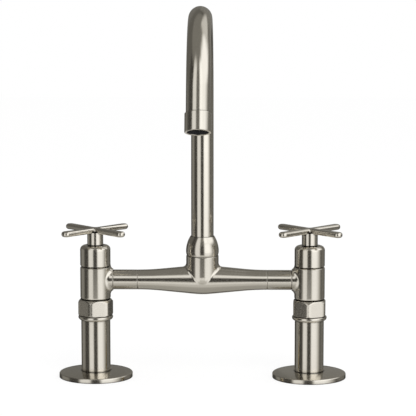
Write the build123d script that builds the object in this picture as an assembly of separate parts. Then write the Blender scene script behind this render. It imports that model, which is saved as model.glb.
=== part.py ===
from build123d import *
from math import cos, radians, sin, sqrt, tan
import os

# Bridge kitchen faucet, in millimetres. The deck's top face is z = 0, the two columns
# stand on the X axis, the spout points to -Y, which is the front.

# ---- Layout ----
column_spacing = 203.2      # between the two deck holes, 8 in
deck_thickness = 30.0       # counter that the shanks are made for
union_height = 16.0         # from the post's bead up to the valve body
bridge_rise = 18.3          # from the valve body's foot up to the bridge's axis

# ---- Clearances ----
fit = 0.05                  # threads, spigots and turning shafts, on the radius
drop_in = 0.1               # seals and washers that lie in their seats
swivel_gap = 0.3            # between the still nut and the turning spout tube
parting_gap = 0.4           # seen between a turning and a still face

# ---- Base flange and its gasket ----
flange_radius = 35.0
flange_edge = 4.6
flange_crown = 1.6
flange_edge_round = 1.3
gasket_inner = 24.0
gasket_width = 6.0
gasket_thickness = 2.2

# ---- Post ----
post_radius = 13.85
post_height = 55.5          # deck to the underside of the bead
post_bore = 7.5
bead_radius = 16.5
bead_height = 4.0
bead_round = 1.2
spigot_radius = 12.4        # thread that carries the union nut
spigot_height = 7.0

# ---- Supply shank under the deck ----
shank_screw_radius = 11.2   # screws up into the post's foot
shank_screw_length = 17.5
shank_radius = 11.6         # plain part in the deck hole
shank_thread_radius = 12.0
shank_thread_length = 22.0
inlet_radius = 10.48        # G 1/2 tail for the supply hose
inlet_length = 16.0
shank_bore = 6.0
deck_washer_radius = 21.0
rubber_washer_thickness = 3.0
steel_washer_thickness = 1.6
lock_nut_across = 32.0
lock_nut_height = 9.0
lock_nut_chamfer = 1.2

# ---- Union ----
union_washer_thickness = 2.0
tail_flange_radius = 12.2
tail_flange_height = 3.0
tail_radius = 9.4           # threaded up into the valve body
tail_engagement = 10.0
tail_bore = 6.0
union_nut_across = 30.2
union_nut_height = 15.3
nut_top_face_radius = 14.7
nut_top_slope = 1.15        # height of the chamfer for each unit of radius
nut_foot_face_radius = 16.0
nut_turn = {-1: -20.0, 1: -4.0}   # corner's bearing from the front, in degrees

# ---- Valve body ----
body_radius = 14.42
body_height = 31.2
body_foot_round = 1.8
body_top_chamfer = 1.1
passage_radius = 6.0
cavity_radius = 11.0
cavity_depth = 18.2
boss_radius = 9.7
boss_reach = 17.0           # column axis to the boss's face
boss_fillet = 3.8

# ---- Quarter-turn cartridge ----
seal_thickness = 1.5
seal_inner = 6.4
disc_radius = 9.5
disc_relief = 0.2           # moving disc is that much smaller
disc_thickness = 3.5
port_inner = 3.2
port_outer = 7.6
port_angle = 80.0
housing_foot_gap = 0.5
housing_bore = 9.8
housing_flange_radius = 11.9
housing_flange_height = 4.0
housing_neck_radius = 7.5
housing_neck_height = 10.0
window_width = 8.0
window_height = 5.0
drive_foot_radius = 8.5
drive_foot_height = 3.0
tongue_length = 13.0
tongue_width = 2.4
tongue_depth = 1.0
spindle_radius = 4.5
spindle_engagement = 8.8    # into the handle's hub
spindle_ring_height = 7.0   # O-ring above the housing's flange
spindle_ring_wire = 0.48

# ---- Bonnet ----
bonnet_radius = 14.35
bonnet_height = 20.1
bonnet_shoulder = 4.0
bonnet_foot_chamfer = 1.1
bonnet_top_wall = 4.0
bonnet_hole_radius = 5.2

# ---- Cross handle ----
hub_radius = 7.55
hub_height = 11.2
hub_foot_round = 0.5
arm_reach = 35.7            # axis to the centre of the arm's round end
arm_root_radius = 3.3
arm_end_radius = 4.5
arm_thickness = 5.2
arm_edge_round = 2.4
arm_crotch_round = 1.2
arm_seat_depth = 0.8       # how far the arms are let into the hub's top
arm_bearing = 45.0
hub_bore_spare = 0.4
grub_radius = 1.5
grub_height = 5.3           # above the hub's foot
grub_recess = 0.25
grub_socket_radius = 0.75
grub_socket_depth = 1.2

# ---- Bridge ----
tube_radius = 9.45
tube_bore = 6.0
tube_spigot_radius = 8.0
tube_outer_spigot = 5.6     # in the valve body
tube_inner_spigot = 10.0    # in the tee
bridge_ring_wire = 0.85
bridge_ring_inset = 3.0     # from the boss's face
tee_half_length = 61.5
tee_taper = 5.5             # slope of the trumpet's straight part, in degrees
tee_flare_length = 23.0     # along the axis, where the taper begins
tee_crown_length = 8.0      # along the axis, to each side of the middle
tee_passage = 6.5
tee_boss_radius = 15.35
tee_boss_height = 23.5      # bridge axis to the boss's top
tee_boss_dome_rise = 4.7    # bridge axis to the centre of the boss's domed foot
tee_fillet = 4.0            # where the boss meets the arms
tee_top_round = 0.6

# ---- Spout swivel ----
swivel_bore = 11.6
swivel_bore_depth = 18.6
ring_seat_depth = 10.0      # from the boss's top to the nylon ring's ledge
nut_thread_radius = 12.95
ring_thickness = 1.0
journal_flange_height = 2.0
journal_length = 9.0
journal_bore = 7.0
journal_spigot = 10.0       # up into the spout tube
spout_ring_wire = 0.8
spout_ring_pitch = 3.4
spout_ring_inset = 3.2      # from the flange down to the first ring
bell_height = 18.5
bell_radius = 15.5
bell_belly_rise = 4.1       # bell's foot to its widest point
bell_lip = 0.45             # wall at the bell's top
bell_foot_draw = 0.8        # how far the foot draws in from the widest point

# ---- Spout ----
spout_radius = 10.6
spout_wall = 1.2
riser_top = 261.0           # where the gooseneck begins
gooseneck_radius = 85.0
gooseneck_angle = 160.0
nozzle_length = 39.5        # straight run from the bend to the mouth

# ---- Aerator ----
collar_radius = 11.7
collar_length = 17.0
collar_round = 0.5
mouth_radius = 9.4
mouth_depth = 7.0
insert_radius = 9.85
insert_thickness = 4.0
insert_hole_radius = 0.8
insert_ring_holes = (1, 6, 12)  # holes in each ring, from the middle out
insert_ring_pitch = 3.2
aerator_washer_thickness = 1.2
aerator_washer_inner = 7.6

# ---- Levels that follow ----
column_x = column_spacing / 2
bead_top = post_height + bead_height
body_foot = bead_top + union_height
bridge_z = body_foot + bridge_rise
body_top = body_foot + body_height
cavity_floor = body_top - cavity_depth
bonnet_top = body_top + bonnet_height
hub_foot = bonnet_top + parting_gap
arm_foot = hub_foot + hub_height
post_top = bead_top + spigot_height
tail_flange_foot = post_top + union_washer_thickness
tail_flange_top = tail_flange_foot + tail_flange_height
fixed_disc_foot = cavity_floor + seal_thickness
moving_disc_foot = fixed_disc_foot + disc_thickness
drive_foot_z = moving_disc_foot + disc_thickness
chamber_top = drive_foot_z + drive_foot_height + parting_gap
spindle_top = hub_foot + spindle_engagement
boss_top = bridge_z + tee_boss_height
ring_seat = boss_top - ring_seat_depth
journal_flange_foot = ring_seat + ring_thickness
journal_flange_top = journal_flange_foot + journal_flange_height
journal_foot = journal_flange_foot - journal_length
nut_skirt_foot = journal_flange_top + ring_thickness
tube_end = tee_half_length


def turned(*points):
    """A solid of revolution about Z from corner points (radius, height)."""
    outline = Polyline([(radius, 0, height) for radius, height in points], close=True)
    return turned_outline(outline, Axis.Z)


def turned_outline(outline, axis):
    """A solid of revolution from a closed outline of lines and arcs in the XZ plane."""
    return revolve(make_face(outline), axis)


def ring(outer, inner, foot, top):
    """A plain ring about Z, or a disc where the inner radius is 0."""
    return turned((inner, foot), (outer, foot), (outer, top), (inner, top))


def seal_ring(radius, wire, height):
    """An O-ring about Z: its wire's centre lies at that radius and height."""
    section = Plane.XZ * Pos(radius, height) * Circle(wire)
    return revolve(section, Axis.Z)


def round_rim(solid, radius, height, size):
    """Rounds the circular edge that lies at that radius and height."""
    rims = [
        edge for edge in solid.edges().filter_by(GeomType.CIRCLE)
        if abs(edge.radius - radius) < 1e-3 and abs(edge.center(CenterOf.MASS).Z - height) < 1e-3
    ]
    return fillet(rims, size)


def chamfer_rim(solid, radius, height, size):
    """Chamfers the circular edge that lies at that radius and height."""
    rims = [
        edge for edge in solid.edges().filter_by(GeomType.CIRCLE)
        if abs(edge.radius - radius) < 1e-3 and abs(edge.center(CenterOf.MASS).Z - height) < 1e-3
    ]
    return chamfer(rims, size)


def hexagon(across, foot, height, bearing):
    """A hexagonal prism. The bearing turns a corner from the front, to the left if negative."""
    corner_radius = across / sqrt(3)
    plan = RegularPolygon(corner_radius, 6)
    prism = extrude(plan, height)
    return Pos(0, 0, foot) * Rot(0, 0, bearing - 90) * prism


def facing_bridge(side, solid):
    """Puts a piece, modelled with the bridge at its +X, on its column."""
    turn = 0 if side < 0 else 180
    return Pos(side * column_x, 0, 0) * Rot(0, 0, turn) * solid


def upright(side, solid):
    """Puts a piece on its column without turning it."""
    return Pos(side * column_x, 0, 0) * solid


# ---- Deck hardware and post ----
def base_flange():
    bore = post_radius + drop_in
    crown_top = flange_edge + flange_crown
    chord = flange_radius - flange_edge_round - bore
    middle = (bore + chord / 2, 0, flange_edge + flange_crown * 0.78)
    outline = [
        Line((bore, 0, 0), (flange_radius, 0, 0)),
        Line((flange_radius, 0, 0), (flange_radius, 0, flange_edge - flange_edge_round)),
        ThreePointArc(
            (flange_radius, 0, flange_edge - flange_edge_round),
            (flange_radius - flange_edge_round * (1 - cos(radians(45))), 0,
             flange_edge - flange_edge_round * (1 - sin(radians(45)))),
            (flange_radius - flange_edge_round, 0, flange_edge),
        ),
        ThreePointArc((flange_radius - flange_edge_round, 0, flange_edge), middle, (bore, 0, crown_top)),
        Line((bore, 0, crown_top), (bore, 0, 0)),
    ]
    disc = turned_outline(outline, Axis.Z)
    groove = ring(
        gasket_inner + gasket_width + drop_in, gasket_inner - drop_in, 0, gasket_thickness
    )
    return disc - groove


def flange_gasket():
    return ring(gasket_inner + gasket_width, gasket_inner, 0, gasket_thickness)


def post():
    turned_post = turned(
        (post_bore, 0), (post_radius, 0), (post_radius, post_height),
        (bead_radius, post_height), (bead_radius, bead_top), (spigot_radius, bead_top),
        (spigot_radius, post_top), (post_bore, post_top),
    )
    turned_post = round_rim(turned_post, bead_radius, post_height, bead_height - bead_round - 0.2)
    turned_post = round_rim(turned_post, bead_radius, bead_top, bead_round)
    socket = ring(shank_screw_radius + fit, 0, 0, shank_screw_length + drop_in)
    return turned_post - socket


def supply_shank():
    deck_foot = -deck_thickness
    thread_foot = deck_foot - shank_thread_length
    inlet_foot = thread_foot - inlet_length
    return turned(
        (shank_bore, inlet_foot), (inlet_radius, inlet_foot), (inlet_radius, thread_foot),
        (shank_thread_radius, thread_foot), (shank_thread_radius, deck_foot),
        (shank_radius, deck_foot), (shank_radius, 0), (shank_screw_radius, 0),
        (shank_screw_radius, shank_screw_length), (shank_bore, shank_screw_length),
    )


def rubber_washer():
    top = -deck_thickness
    return ring(deck_washer_radius, shank_thread_radius + drop_in, top - rubber_washer_thickness, top)


def steel_washer():
    top = -deck_thickness - rubber_washer_thickness
    return ring(deck_washer_radius, shank_thread_radius + drop_in, top - steel_washer_thickness, top)


def lock_nut():
    top = -deck_thickness - rubber_washer_thickness - steel_washer_thickness
    foot = top - lock_nut_height
    prism = hexagon(lock_nut_across, foot, lock_nut_height, 0)
    face_radius = lock_nut_across / 2 - lock_nut_chamfer / 2
    corner_radius = lock_nut_across / sqrt(3)
    slope_height = (corner_radius - face_radius) * tan(radians(30))
    envelope = turned(
        (0, foot), (face_radius, foot), (corner_radius, foot + slope_height),
        (corner_radius, top), (0, top),
    )
    return (prism & envelope) - ring(shank_thread_radius + fit, 0, foot, top)


# ---- Union ----
def union_washer():
    return ring(tail_flange_radius, post_bore, post_top, tail_flange_foot)


def union_tailpiece():
    return turned(
        (tail_bore, tail_flange_foot), (tail_flange_radius, tail_flange_foot),
        (tail_flange_radius, tail_flange_top), (tail_radius, tail_flange_top),
        (tail_radius, body_foot + tail_engagement), (tail_bore, body_foot + tail_engagement),
    )


def union_nut(side):
    foot = bead_top + parting_gap - drop_in
    top = foot + union_nut_height
    corner_radius = union_nut_across / sqrt(3)
    prism = hexagon(union_nut_across, foot, union_nut_height, nut_turn[side])
    envelope = turned(
        (0, foot), (nut_foot_face_radius, foot),
        (corner_radius, foot + (corner_radius - nut_foot_face_radius) * nut_top_slope),
        (corner_radius, top - (corner_radius - nut_top_face_radius) * nut_top_slope),
        (nut_top_face_radius, top), (0, top),
    )
    thread = ring(spigot_radius + fit, 0, foot, tail_flange_top)
    lip = ring(tail_radius + drop_in, 0, foot, top)
    return (prism & envelope) - thread - lip


# ---- Valve body ----
def valve_body():
    overrun = body_radius
    barrel = ring(body_radius, 0, body_foot - overrun, body_top + overrun)
    boss = Pos(0, 0, bridge_z) * Rot(0, 90, 0) * Cylinder(
        boss_radius, boss_reach + overrun, align=(Align.CENTER, Align.CENTER, Align.MIN)
    )
    cast = barrel + boss
    roots = [
        edge for edge in cast.edges()
        if edge.geom_type not in (GeomType.CIRCLE, GeomType.LINE)
    ]
    cast = fillet(roots, boss_fillet)
    trim = Pos(0, 0, body_foot) * Box(
        boss_reach * 2, body_radius * 3, body_height, align=(Align.CENTER, Align.CENTER, Align.MIN)
    )
    cast = cast & trim
    cast = round_rim(cast, body_radius, body_foot, body_foot_round)
    lathe_cut = turned(
        (body_radius - body_top_chamfer, body_top), (body_radius * 2, body_top + body_radius),
        (body_radius * 2, body_top - body_radius - body_top_chamfer),
    )
    cast = cast - lathe_cut
    inlet = ring(tail_radius + fit, 0, body_foot, body_foot + tail_engagement + drop_in)
    passage = ring(passage_radius, 0, body_foot, cavity_floor)
    cavity = ring(cavity_radius, 0, cavity_floor, body_top)
    outlet = Pos(0, 0, bridge_z) * Rot(0, 90, 0) * Cylinder(
        tube_spigot_radius + fit, boss_reach, align=(Align.CENTER, Align.CENTER, Align.MIN)
    )
    outlet = outlet - ring(cavity_radius - 1, 0, body_foot, body_top)
    return cast - inlet - passage - cavity - outlet


# ---- Quarter-turn cartridge ----
def cartridge_seal():
    return ring(disc_radius, seal_inner, cavity_floor, fixed_disc_foot)


def port_sector(outer, foot, height, bearing):
    """A ring sector, centred on the bearing, that a port is cut with."""
    half = radians(port_angle / 2)
    corners = [
        (port_inner * cos(half), -port_inner * sin(half)),
        (outer * cos(half), -outer * sin(half)),
        (outer * cos(half), outer * sin(half)),
        (port_inner * cos(half), port_inner * sin(half)),
    ]
    outline = [
        Line(corners[0], corners[1]),
        ThreePointArc(corners[1], (outer, 0), corners[2]),
        Line(corners[2], corners[3]),
        ThreePointArc(corners[3], (port_inner, 0), corners[0]),
    ]
    sector = extrude(make_face(outline), height)
    return Pos(0, 0, foot) * Rot(0, 0, bearing) * sector


def fixed_disc():
    disc = ring(disc_radius, 0, fixed_disc_foot, moving_disc_foot)
    for bearing in (0, 180):
        disc -= port_sector(port_outer, fixed_disc_foot, disc_thickness, bearing)
    return disc


def moving_disc():
    disc = ring(disc_radius - disc_relief, 0, moving_disc_foot, drive_foot_z)
    for bearing in (90, 270):
        disc -= port_sector(disc_radius * 2, moving_disc_foot, disc_thickness, bearing)
    slot = Pos(0, 0, drive_foot_z) * Box(
        tongue_length + drop_in * 2, tongue_width + drop_in * 2, (tongue_depth + drop_in) * 2
    )
    return disc - slot


def cartridge_housing():
    flange_top = body_top + housing_flange_height
    neck_top = flange_top + housing_neck_height
    barrel_radius = cavity_radius - fit
    housing = turned(
        (housing_bore, cavity_floor + housing_foot_gap), (barrel_radius, cavity_floor + housing_foot_gap),
        (barrel_radius, body_top), (housing_flange_radius, body_top),
        (housing_flange_radius, flange_top), (housing_neck_radius, flange_top),
        (housing_neck_radius, neck_top), (spindle_radius + fit, neck_top),
        (spindle_radius + fit, chamber_top), (housing_bore, chamber_top),
    )
    window = Pos(0, 0, moving_disc_foot) * Box(
        cavity_radius * 3, window_width, window_height, align=(Align.CENTER, Align.CENTER, Align.MIN)
    )
    return housing - window


def spindle():
    ring_height = body_top + housing_flange_height + spindle_ring_height
    groove_half = spindle_ring_wire + drop_in
    groove_radius = spindle_radius - 2 * spindle_ring_wire - fit
    shaft = turned(
        (0, drive_foot_z), (drive_foot_radius, drive_foot_z),
        (drive_foot_radius, drive_foot_z + drive_foot_height),
        (spindle_radius, drive_foot_z + drive_foot_height),
        (spindle_radius, ring_height - groove_half), (groove_radius, ring_height - groove_half),
        (groove_radius, ring_height + groove_half), (spindle_radius, ring_height + groove_half),
        (spindle_radius, spindle_top), (0, spindle_top),
    )
    tongue = Pos(0, 0, drive_foot_z) * Box(tongue_length, tongue_width, tongue_depth * 2)
    return shaft + tongue


def spindle_oring():
    ring_height = body_top + housing_flange_height + spindle_ring_height
    return seal_ring(spindle_radius - spindle_ring_wire, spindle_ring_wire, ring_height)


def valve_bonnet():
    thread = housing_flange_radius + drop_in
    bonnet = turned(
        (thread, body_top), (bonnet_radius, body_top), (bonnet_radius, bonnet_top),
        (bonnet_hole_radius, bonnet_top), (bonnet_hole_radius, bonnet_top - bonnet_top_wall),
        (thread, bonnet_top - bonnet_top_wall),
    )
    bonnet = round_rim(bonnet, bonnet_radius, bonnet_top, bonnet_shoulder)
    return chamfer_rim(bonnet, bonnet_radius, body_top, bonnet_foot_chamfer)


# ---- Cross handle ----
def handle_arm_plan(bearing):
    """One paddle arm in plan: the hull of a small circle at the axis and a larger one."""
    circles = Circle(arm_root_radius).edges() + (Pos(arm_reach, 0) * Circle(arm_end_radius)).edges()
    return Rot(0, 0, bearing) * make_hull(circles)


def cross_handle():
    plan = handle_arm_plan(arm_bearing)
    for quarter in (1, 2, 3):
        plan += handle_arm_plan(arm_bearing + 90 * quarter)
    crotches = [
        vertex for vertex in plan.vertices()
        if sqrt(vertex.X ** 2 + vertex.Y ** 2) < arm_root_radius * 2
    ]
    plan = fillet(crotches, arm_crotch_round)
    cross = extrude(plan, arm_thickness)
    cross = fillet(cross.edges().group_by(Axis.Z)[-1], arm_edge_round)
    cross = fillet(cross.edges().group_by(Axis.Z)[0], arm_edge_round)
    cross = Pos(0, 0, arm_foot) * cross
    hub = ring(hub_radius, 0, hub_foot, arm_foot + arm_seat_depth)
    hub = round_rim(hub, hub_radius, hub_foot, hub_foot_round)
    bore = ring(spindle_radius + fit, 0, hub_foot, spindle_top + hub_bore_spare)
    grub_hole = Pos(0, 0, hub_foot + grub_height) * Rot(-90, 0, 0) * Cylinder(
        grub_radius + fit, hub_radius * 2, align=(Align.CENTER, Align.CENTER, Align.MIN)
    )
    return cross + hub - bore - grub_hole


def handle_screw():
    length = hub_radius - grub_recess - spindle_radius - fit
    screw = Cylinder(grub_radius, length, align=(Align.CENTER, Align.CENTER, Align.MIN))
    socket = Pos(0, 0, length - grub_socket_depth) * extrude(
        RegularPolygon(grub_socket_radius, 6), grub_socket_depth
    )
    start = Pos(0, spindle_radius + fit, hub_foot + grub_height)
    return start * Rot(-90, 0, 0) * (screw - socket)


# ---- Bridge ----
def bridge_tube():
    """Lies along X, from the tee at x = 0 here to the valve body's boss."""
    length = column_x - boss_reach - tube_end
    spigot_end = length + tube_outer_spigot
    ring_place = length + bridge_ring_inset
    groove_half = bridge_ring_wire + drop_in
    groove_radius = tube_spigot_radius - 2 * bridge_ring_wire - fit
    return turned(
        (tube_bore, -tube_inner_spigot), (tube_spigot_radius, -tube_inner_spigot),
        (tube_spigot_radius, 0), (tube_radius, 0), (tube_radius, length),
        (tube_spigot_radius, length), (tube_spigot_radius, ring_place - groove_half),
        (groove_radius, ring_place - groove_half), (groove_radius, ring_place + groove_half),
        (tube_spigot_radius, ring_place + groove_half), (tube_spigot_radius, spigot_end),
        (tube_bore, spigot_end),
    )


def bridge_oring():
    ring_place = column_x - boss_reach - tube_end + bridge_ring_inset
    return seal_ring(tube_spigot_radius - bridge_ring_wire, bridge_ring_wire, ring_place)


def along_bridge(side, solid):
    """Lays a piece, turned about Z, along the bridge from the tee's end outwards."""
    return Pos(side * tube_end, 0, bridge_z) * Rot(0, 90 * side, 0) * solid


def trumpet():
    """Both trumpet arms as one turned form along X: flare, taper, and a crown over the middle."""
    slope = radians(tee_taper)
    flare_radius = tee_flare_length / sin(slope)
    flare_inner = tee_half_length - tee_flare_length
    flare_end = tube_radius + flare_radius * (1 - cos(slope))
    taper_end = flare_end + (flare_inner - tee_crown_length) * tan(slope)
    crown_top = taper_end + tee_crown_length / sin(slope) * (1 - cos(slope))
    flare_middle = tee_half_length - flare_radius * sin(slope / 2)
    flare_middle_radius = tube_radius + flare_radius * (1 - cos(slope / 2))
    outline = [
        ThreePointArc((-tee_crown_length, 0, taper_end), (0, 0, crown_top), (tee_crown_length, 0, taper_end)),
        Line((-tee_half_length, 0, 0), (tee_half_length, 0, 0)),
    ]
    for side in (-1, 1):
        tip = (side * tee_half_length, 0, tube_radius)
        flare_foot = (side * flare_inner, 0, flare_end)
        outline += [
            Line((side * tee_half_length, 0, 0), tip),
            ThreePointArc(tip, (side * flare_middle, 0, flare_middle_radius), flare_foot),
            Line(flare_foot, (side * tee_crown_length, 0, taper_end)),
        ]
    return Pos(0, 0, bridge_z) * turned_outline(outline, Axis.X)


def bridge_tee():
    dome_z = bridge_z + tee_boss_dome_rise
    boss = ring(tee_boss_radius, 0, dome_z, boss_top) + Pos(0, 0, dome_z) * Sphere(tee_boss_radius)
    tee = trumpet() + boss
    roots = [edge for edge in tee.edges() if edge.geom_type not in (GeomType.CIRCLE, GeomType.LINE)]
    tee = fillet(roots, tee_fillet)
    tee = round_rim(tee, tee_boss_radius, boss_top, tee_top_round)
    passage = Pos(0, 0, bridge_z) * Rot(0, 90, 0) * Cylinder(tee_passage, tee_half_length * 2)
    tee = tee - passage
    for side in (-1, 1):
        tee -= along_bridge(side, ring(tube_spigot_radius + fit, 0, -tube_inner_spigot - drop_in, 0))
    tee -= ring(journal_bore, 0, bridge_z, boss_top)
    tee -= ring(swivel_bore, 0, boss_top - swivel_bore_depth, boss_top)
    tee -= ring(nut_thread_radius + fit, 0, ring_seat, boss_top)
    return tee


# ---- Spout swivel ----
def swivel_ring(inner, foot):
    """A nylon ring that the journal's flange turns against."""
    return ring(nut_thread_radius - drop_in, inner, foot, foot + ring_thickness)


def swivel_sleeve():
    journal_radius = swivel_bore - fit
    groove_radius = journal_radius - 2 * spout_ring_wire - fit
    groove_half = spout_ring_wire + drop_in
    spigot = spout_radius - spout_wall - fit
    flange = nut_thread_radius - drop_in * 2
    sleeve = turned(
        (journal_bore, journal_foot), (journal_radius, journal_foot),
        (journal_radius, journal_flange_foot), (flange, journal_flange_foot),
        (flange, journal_flange_top), (spigot, journal_flange_top),
        (spigot, journal_flange_top + journal_spigot), (journal_bore, journal_flange_top + journal_spigot),
    )
    for count in range(2):
        middle = journal_flange_foot - spout_ring_inset - count * spout_ring_pitch
        sleeve -= ring(swivel_bore, groove_radius, middle - groove_half, middle + groove_half)
    return sleeve


def spout_orings():
    radius = swivel_bore - fit - spout_ring_wire - fit
    rings = []
    for count in range(2):
        middle = journal_flange_foot - spout_ring_inset - count * spout_ring_pitch
        rings.append(seal_ring(radius, spout_ring_wire, middle))
    return Compound(children=rings)


def arc_depth(chord_run, depth, place):
    """Depth at a place along the run of a circular arc that is level where its run begins."""
    radius = (chord_run ** 2 + depth ** 2) / (2 * depth)
    return radius - sqrt(radius ** 2 - place ** 2)


def swivel_nut():
    bore = spout_radius + swivel_gap
    belly_z = boss_top + bell_belly_rise
    bell_top = boss_top + bell_height
    neck_run = bell_top - belly_z
    neck_draw = bell_radius - bore - bell_lip
    foot_middle = bell_radius - arc_depth(bell_belly_rise, bell_foot_draw, bell_belly_rise / 2)
    neck_middle = bell_radius - arc_depth(neck_run, neck_draw, neck_run / 2)
    foot_radius = bell_radius - bell_foot_draw
    outline = [
        Line((bore, 0, nut_skirt_foot), (nut_thread_radius, 0, nut_skirt_foot)),
        Line((nut_thread_radius, 0, nut_skirt_foot), (nut_thread_radius, 0, boss_top)),
        Line((nut_thread_radius, 0, boss_top), (foot_radius, 0, boss_top)),
        ThreePointArc(
            (foot_radius, 0, boss_top), (foot_middle, 0, boss_top + bell_belly_rise / 2),
            (bell_radius, 0, belly_z),
        ),
        ThreePointArc(
            (bell_radius, 0, belly_z), (neck_middle, 0, belly_z + neck_run / 2),
            (bore + bell_lip, 0, bell_top),
        ),
        Line((bore + bell_lip, 0, bell_top), (bore, 0, bell_top)),
        Line((bore, 0, bell_top), (bore, 0, nut_skirt_foot)),
    ]
    return turned_outline(outline, Axis.Z)


# ---- Spout ----
def gooseneck_point(angle, radius=gooseneck_radius):
    """A point at that angle round the bend, which starts upwards from the riser."""
    turn = radians(angle)
    return (0, -gooseneck_radius + radius * cos(turn), riser_top + radius * sin(turn))


def nozzle_direction():
    lean = radians(180 - gooseneck_angle)
    return (0, -sin(lean), -cos(lean))


def nozzle_place(distance):
    """The plane across the nozzle, that far down from the end of the bend. Its Z looks down."""
    start = Vector(*gooseneck_point(gooseneck_angle))
    return Plane(start + Vector(*nozzle_direction()) * distance, x_dir=(1, 0, 0), z_dir=nozzle_direction())


def spout_tube():
    foot = journal_flange_top
    bend_end = gooseneck_point(gooseneck_angle)
    tube_length = nozzle_length - mouth_depth - insert_thickness - aerator_washer_thickness
    tube_end_point = nozzle_place(tube_length).origin
    path = Wire([
        Line((0, 0, foot), (0, 0, riser_top)),
        ThreePointArc((0, 0, riser_top), gooseneck_point(gooseneck_angle / 2), bend_end),
        Line(bend_end, tube_end_point),
    ])
    section = Pos(0, 0, foot) * (Circle(spout_radius) - Circle(spout_radius - spout_wall))
    return sweep(section, path)


# ---- Aerator, turned about Z with its mouth at z = 0 and the tube above ----
def aerator_housing():
    seat = mouth_depth
    tube_stop = seat + insert_thickness + aerator_washer_thickness
    housing = turned(
        (mouth_radius, 0), (collar_radius, 0), (collar_radius, collar_length),
        (spout_radius + fit, collar_length), (spout_radius + fit, tube_stop),
        (insert_radius + fit, tube_stop), (insert_radius + fit, seat), (mouth_radius, seat),
    )
    housing = round_rim(housing, collar_radius, 0, collar_round)
    return round_rim(housing, collar_radius, collar_length, collar_round)


def aerator_insert():
    insert = ring(insert_radius, 0, mouth_depth, mouth_depth + insert_thickness)
    for step, count in enumerate(insert_ring_holes):
        radius = step * insert_ring_pitch
        for place in range(count):
            angle = radians(360 * place / count)
            insert -= Pos(radius * cos(angle), radius * sin(angle), mouth_depth) * Cylinder(
                insert_hole_radius, insert_thickness, align=(Align.CENTER, Align.CENTER, Align.MIN)
            )
    return insert


def aerator_washer():
    foot = mouth_depth + insert_thickness
    return ring(insert_radius, aerator_washer_inner, foot, foot + aerator_washer_thickness)


def on_nozzle(solid):
    """Puts an aerator piece at the nozzle's mouth, its own Z looking back up the tube."""
    mouth = nozzle_place(nozzle_length)
    up = Vector(*nozzle_direction()) * -1
    return Plane(mouth.origin, x_dir=(1, 0, 0), z_dir=up).location * solid


def all_pieces():
    pieces = {}
    for side, name in ((-1, "left"), (1, "right")):
        pieces[name + "_base_flange"] = upright(side, base_flange())
        pieces[name + "_flange_gasket"] = upright(side, flange_gasket())
        pieces[name + "_post"] = upright(side, post())
        pieces[name + "_supply_shank"] = upright(side, supply_shank())
        pieces[name + "_rubber_washer"] = upright(side, rubber_washer())
        pieces[name + "_steel_washer"] = upright(side, steel_washer())
        pieces[name + "_lock_nut"] = upright(side, lock_nut())
        pieces[name + "_union_nut"] = upright(side, union_nut(side))
        pieces[name + "_union_washer"] = upright(side, union_washer())
        pieces[name + "_union_tailpiece"] = upright(side, union_tailpiece())
        pieces[name + "_valve_body"] = facing_bridge(side, valve_body())
        pieces[name + "_valve_bonnet"] = upright(side, valve_bonnet())
        pieces[name + "_cartridge_housing"] = upright(side, cartridge_housing())
        pieces[name + "_cartridge_seal"] = upright(side, cartridge_seal())
        pieces[name + "_fixed_disc"] = upright(side, fixed_disc())
        pieces[name + "_moving_disc"] = upright(side, moving_disc())
        pieces[name + "_spindle"] = upright(side, spindle())
        pieces[name + "_spindle_oring"] = upright(side, spindle_oring())
        pieces[name + "_cross_handle"] = upright(side, cross_handle())
        pieces[name + "_handle_screw"] = upright(side, handle_screw())
        pieces[name + "_bridge_tube"] = along_bridge(side, bridge_tube())
        pieces[name + "_bridge_oring"] = along_bridge(side, bridge_oring())
    pieces["bridge_tee"] = bridge_tee()
    pieces["swivel_ring_lower"] = swivel_ring(swivel_bore + drop_in, ring_seat)
    pieces["swivel_ring_upper"] = swivel_ring(spout_radius + swivel_gap, journal_flange_top)
    pieces["swivel_nut"] = swivel_nut()
    pieces["swivel_sleeve"] = swivel_sleeve()
    pieces["spout_orings"] = spout_orings()
    pieces["spout_tube"] = spout_tube()
    pieces["aerator_housing"] = on_nozzle(aerator_housing())
    pieces["aerator_insert"] = on_nozzle(aerator_insert())
    pieces["aerator_washer"] = on_nozzle(aerator_washer())
    return pieces


os.makedirs("parts", exist_ok=True)
for piece_name, piece in all_pieces().items():
    export_step(piece, "parts/" + piece_name + ".step")
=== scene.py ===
"""A bridge kitchen faucet in satin nickel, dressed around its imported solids.

Shapes are worked out in millimetres, with the deck's top face at z = 0 and the spout towards -Y.
"""

import bmesh
import bpy
import numpy as np
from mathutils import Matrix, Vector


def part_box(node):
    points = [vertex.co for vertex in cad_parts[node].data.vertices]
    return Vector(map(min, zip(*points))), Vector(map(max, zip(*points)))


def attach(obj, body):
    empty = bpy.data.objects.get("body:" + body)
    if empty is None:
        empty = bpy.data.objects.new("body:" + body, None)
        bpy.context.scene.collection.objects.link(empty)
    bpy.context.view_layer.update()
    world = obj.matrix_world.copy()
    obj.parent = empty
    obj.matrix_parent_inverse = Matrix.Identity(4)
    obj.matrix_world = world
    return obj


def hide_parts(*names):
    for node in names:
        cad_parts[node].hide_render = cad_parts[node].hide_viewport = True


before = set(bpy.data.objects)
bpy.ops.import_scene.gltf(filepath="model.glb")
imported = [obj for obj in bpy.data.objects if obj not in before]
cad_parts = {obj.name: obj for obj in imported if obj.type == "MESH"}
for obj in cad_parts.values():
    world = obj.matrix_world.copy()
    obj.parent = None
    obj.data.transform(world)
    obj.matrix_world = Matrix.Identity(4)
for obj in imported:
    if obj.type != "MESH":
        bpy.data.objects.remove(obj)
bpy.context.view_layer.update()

MM = 0.001                  # metres in a millimetre

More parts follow.
